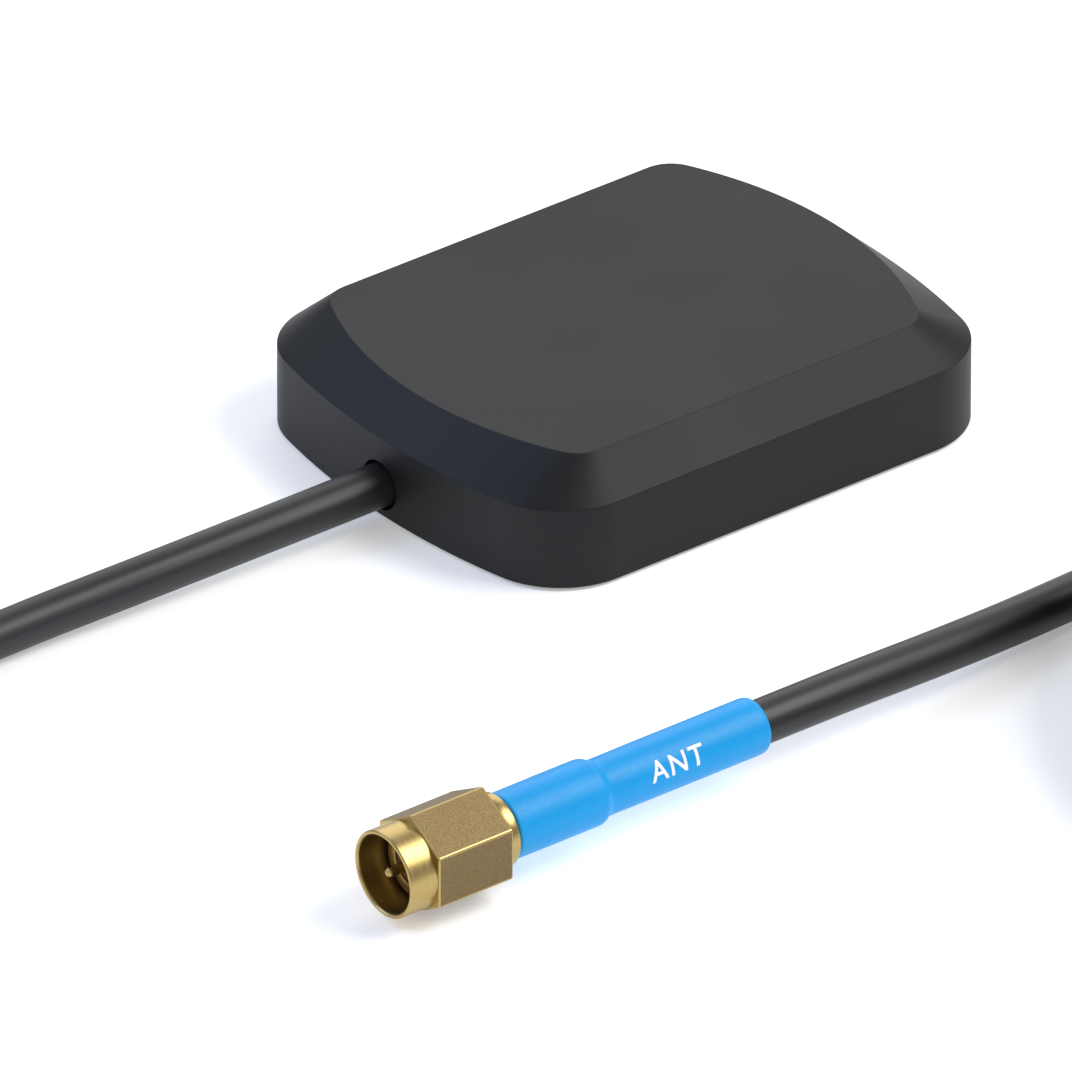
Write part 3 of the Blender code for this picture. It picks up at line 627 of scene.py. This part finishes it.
nut_bore = turned_piece(
    "nut_bore",
    [
        (3.8, 0.0), (3.8, 3.56), (2.8, 3.56), (2.74, 3.49), (2.62, 3.44), (2.4, 3.42), (-1.1, 3.4),
        (-1.1, 2.75), (-3.4, 2.75), (-3.4, 3.25), (-4.6, 3.25), (-4.6, 2.75), (-8.5, 2.75), (-8.5, 0.0),
    ],
)
cut_away(nut, nut_bore)
smooth_finish(nut, 32)

# The blasted flats: the same plate over a pitted skin. Bead marks of about 0.1 mm are drawn at real size.
blasted, blasted_shader = new_material("brass, bead blasted, gold plated")
blasted_shader.inputs["Metallic"].default_value = 1.0
blasted_pits = grains(blasted, in_object(blasted), 9000.0, 3.0)
blasted_spots = spread(blasted, blasted_pits, 0.0, 1.0, 0.38, 0.62)
connect(
    blasted, blasted_shader,
    Base_Color=tone_between(blasted, blasted_spots, "#6c5c40", "#94805a"),
    Roughness=spread(blasted, blasted_pits, 0.45, 0.6),
    Normal=relief(blasted, blasted_pits, 0.5, 0.02),
)
nut.data.materials.clear()
nut.data.materials.append(gold)
nut.data.materials.append(blasted)
for polygon in nut.data.polygons:
    offset = polygon.center - PLUG_FACE
    if polygon.area > BLASTED_AREA and math.hypot(offset.y, offset.z) > BLASTED_FROM:
        polygon.material_index = 1
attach(nut, "coupling_nut")
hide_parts("coupling_nut")


# Plug body. One brass turning: the ring that meets the socket, the groove for the snap ring, the shiny
# collar behind the nut and the crimp stem inside the sleeve.
plug_body = turned_piece(
    "turned_plug_body",
    [
        (0.0, 2.65), (-3.5, 2.65), (-3.5, 2.3), (-4.5, 2.3), (-4.5, 2.65), (-7.9, 2.65), (-7.9, 3.25),
        (-9.0, 3.25), (-9.0, 1.35), (-16.0, 1.35), (-16.0, 1.05), (-8.2, 1.05), (-8.2, 2.0), (0.0, 2.0),
    ],
)
add_bevel(plug_body, 0.08 * MM, 2)
apply_modifiers(plug_body)
smooth_finish(plug_body)
plug_body.data.materials.append(gold)
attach(plug_body, "antenna")
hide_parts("plug_body")


# Centre pin. A brass pin, gold plated, with a rounded tip just behind the nut's mouth. It's pressed into an
# insulator that fills the body, coloured dark amber-brown: painted shade and painted gold reflection.
PIN_TIP = 2.5
PIN_RADIUS = 0.45
pin_profile = []
for degrees in range(0, 91, 15):
    turn = math.radians(degrees)
    pin_profile.append((PIN_TIP - PIN_RADIUS * (1 - math.cos(turn)), PIN_RADIUS * math.sin(turn)))
pin_profile += [(-8.2, PIN_RADIUS), (-8.2, 0.65), (-9.8, 0.65), (-9.8, 0.0)]
centre_pin = turned_piece("plug_pin", pin_profile, steps=32)
smooth_finish(centre_pin)
centre_pin.data.materials.append(gold)
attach(centre_pin, "antenna")
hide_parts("centre_pin")

insulator = turned_piece("plug_bead", [(-0.05, 1.9), (-7.9, 1.9), (-7.9, 0.55), (-0.05, 0.55)], steps=48)
add_bevel(insulator, 0.06 * MM, 2)
apply_modifiers(insulator)
smooth_finish(insulator)
# The insulator's dark amber-brown tones are painted shade and painted gold reflection from the nut's bore,
# given to it as its colour.
insulator_shade_tone = plain_solid("PEI, moulded, amber", ("#4a3518", "#5f4623"), 0.4, 0.4, 0.1)
insulator.data.materials.append(insulator_shade_tone)
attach(insulator, "antenna")
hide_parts("plug_insulator")
silicone = plain_solid("silicone gasket, moulded", ("#5b4426", "#6d5330"), 0.6, 0.4)
paint_nodes(silicone, "plug_gasket")


# Shrink sleeve. Blue polyolefin heat-shrink over the crimp and the lead's end: it shows the ferrule's edge as
# a soft step, and its cut end is a little rounded.
sleeve = turned_piece(
    "heat_shrink_sleeve",
    [
        (-9.3, 2.75), (-9.42, 2.87), (-9.6, 2.91), (-14.0, 2.93), (-18.15, 2.93), (-18.45, 2.9),
        (-18.68, 2.82), (-18.85, 2.7), (-19.05, 2.58), (-19.35, 2.51), (-19.8, 2.48), (-24.0, 2.5),
        (-35.3, 2.5), (-35.6, 2.47), (-35.8, 2.4), (-35.9, 2.3), (-35.9, 2.1), (-18.9, 2.1),
        (-18.4, 2.6), (-9.3, 2.6),
    ],
    steps=128,
)
smooth_finish(sleeve, 50)

# Polyolefin, shrunk: a soft gloss, and slight ripples a few millimetres long where it tightened.
polyolefin, polyolefin_shader = new_material("polyolefin heat-shrink, shrunk")
polyolefin_shader.inputs["IOR"].default_value = 1.5
polyolefin_shader.inputs["Specular IOR Level"].default_value = 0.35
polyolefin_where = in_object(polyolefin)
polyolefin_ripple = grains(polyolefin, polyolefin_where, 350.0)
connect(
    polyolefin, polyolefin_shader,
    Base_Color=tone_between(polyolefin, polyolefin_ripple, "#0096dc", "#009fe6"),
    Roughness=spread(polyolefin, grains(polyolefin, polyolefin_where, 3000.0), 0.4, 0.5),
    Normal=relief(polyolefin, polyolefin_ripple, 0.25, 0.05),
)
sleeve.data.materials.append(polyolefin)
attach(sleeve, "antenna")
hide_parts("shrink_sleeve")


# Sleeve print. A plain white word, screen printed: a skin of ink 0.03 mm thick that follows the sleeve.
PRINT_MIDDLE = -37.4 * MM
PRINT_TURN = math.radians(68)
PRINT_START = 3.2
LETTER_HEIGHT = 2.5 * MM
INK_THICKNESS = 0.03 * MM
bpy.ops.object.select_all(action="DESELECT")
bpy.ops.object.text_add()
sleeve_print = bpy.context.object
sleeve_print.name = "sleeve_print"
sleeve_print.data.body = "ANT"
sleeve_print.data.size = LETTER_HEIGHT
sleeve_print.data.space_character = 1.15
sleeve_print.data.offset = 0.03 * MM
sleeve_print.data.align_x = "CENTER"
sleeve_print.data.align_y = "CENTER"
bpy.ops.object.convert(target="MESH")
sleeve_print = bpy.context.object
bpy.ops.object.mode_set(mode="EDIT")
bpy.ops.mesh.select_all(action="SELECT")
bpy.ops.mesh.remove_doubles(threshold=0.003 * MM)
bpy.ops.mesh.subdivide(number_cuts=5)
bpy.ops.object.mode_set(mode="OBJECT")
# The word starts a little above the sleeve, facing out, reads along the lead, and is then laid on it.
out = Vector((0.0, -math.sin(PRINT_TURN), math.cos(PRINT_TURN)))
along = Vector((1.0, 0.0, 0.0))
across = out.cross(along)
print_place = Vector((PRINT_MIDDLE, PLUG_FACE.y, PLUG_FACE.z)) + out * PRINT_START * MM
print_axes = Matrix((along, across, out)).transposed().to_4x4()
sleeve_print.matrix_world = Matrix.Translation(print_place) @ print_axes
wrap = sleeve_print.modifiers.new("wrapped on the sleeve", "SHRINKWRAP")
wrap.target = sleeve
wrap.wrap_method = "PROJECT"
wrap.use_project_z = True
wrap.use_negative_direction = True
wrap.use_positive_direction = False
wrap.offset = INK_THICKNESS / 2
ink_skin = sleeve_print.modifiers.new("ink", "SOLIDIFY")
ink_skin.thickness = INK_THICKNESS
ink_skin.offset = 0.0
apply_modifiers(sleeve_print)
bpy.ops.object.transform_apply(location=True, rotation=True, scale=True)
ink = plain_solid("ink, screen printed, white", ("#f2f4f6", "#fbfcfd"), 0.5, 0.3, 0.05)
sleeve_print.data.materials.append(ink)
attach(sleeve_print, "antenna")


# Table and light. A plain white table, lit a little from below so that shadows stay pale, and four soft
# lamps: one behind, one on each side, and a weak one in front of the plug's mouth.
bpy.ops.object.select_all(action="DESELECT")
bpy.ops.mesh.primitive_plane_add(size=6.0)
table = bpy.context.object
table.name = "table"
table_paint, table_shader = new_material("white table, matt")
table_shader.inputs["Base Color"].default_value = linear("#fafafa")
table_shader.inputs["Roughness"].default_value = 0.9
table_shader.inputs["Emission Color"].default_value = (1.0, 1.0, 1.0, 1.0)
table_shader.inputs["Emission Strength"].default_value = 0.3
table.data.materials.append(table_paint)


def soft_box(name, toward, distance, size, energy, tone):
    """A square lamp in a given direction, turned to face the object."""
    bpy.ops.object.light_add(type="AREA")
    lamp = bpy.context.object
    lamp.name = name
    direction = Vector(toward).normalized()
    lamp.location = direction * distance
    lamp.rotation_euler = direction.to_track_quat("Z", "Y").to_euler()
    lamp.data.size = size
    lamp.data.energy = energy
    lamp.data.color = linear(tone)[:3]


soft_box("back_lamp", (0.533, 0.677, 0.507), 1.2, 1.0, 5.0, "#ffffff")
soft_box("right_lamp", (0.53, -0.46, 0.71), 1.0, 0.6, 7.5, "#ffffff")
soft_box("left_lamp", (-0.53, 0.56, 0.63), 1.0, 0.6, 3.4, "#b0ccff")
soft_box("front_lamp", (-0.85, -0.35, 0.4), 1.0, 0.8, 1.4, "#ffffff")
world = bpy.data.worlds.new("soft room")
world.use_nodes = True
room_light = world.node_tree.nodes["Background"]
room_light.inputs["Color"].default_value = (1.0, 1.0, 1.0, 1.0)
room_light.inputs["Strength"].default_value = 0.36
bpy.context.scene.world = world
bpy.context.scene.view_settings.view_transform = "Standard"

bpy.context.view_layer.update()
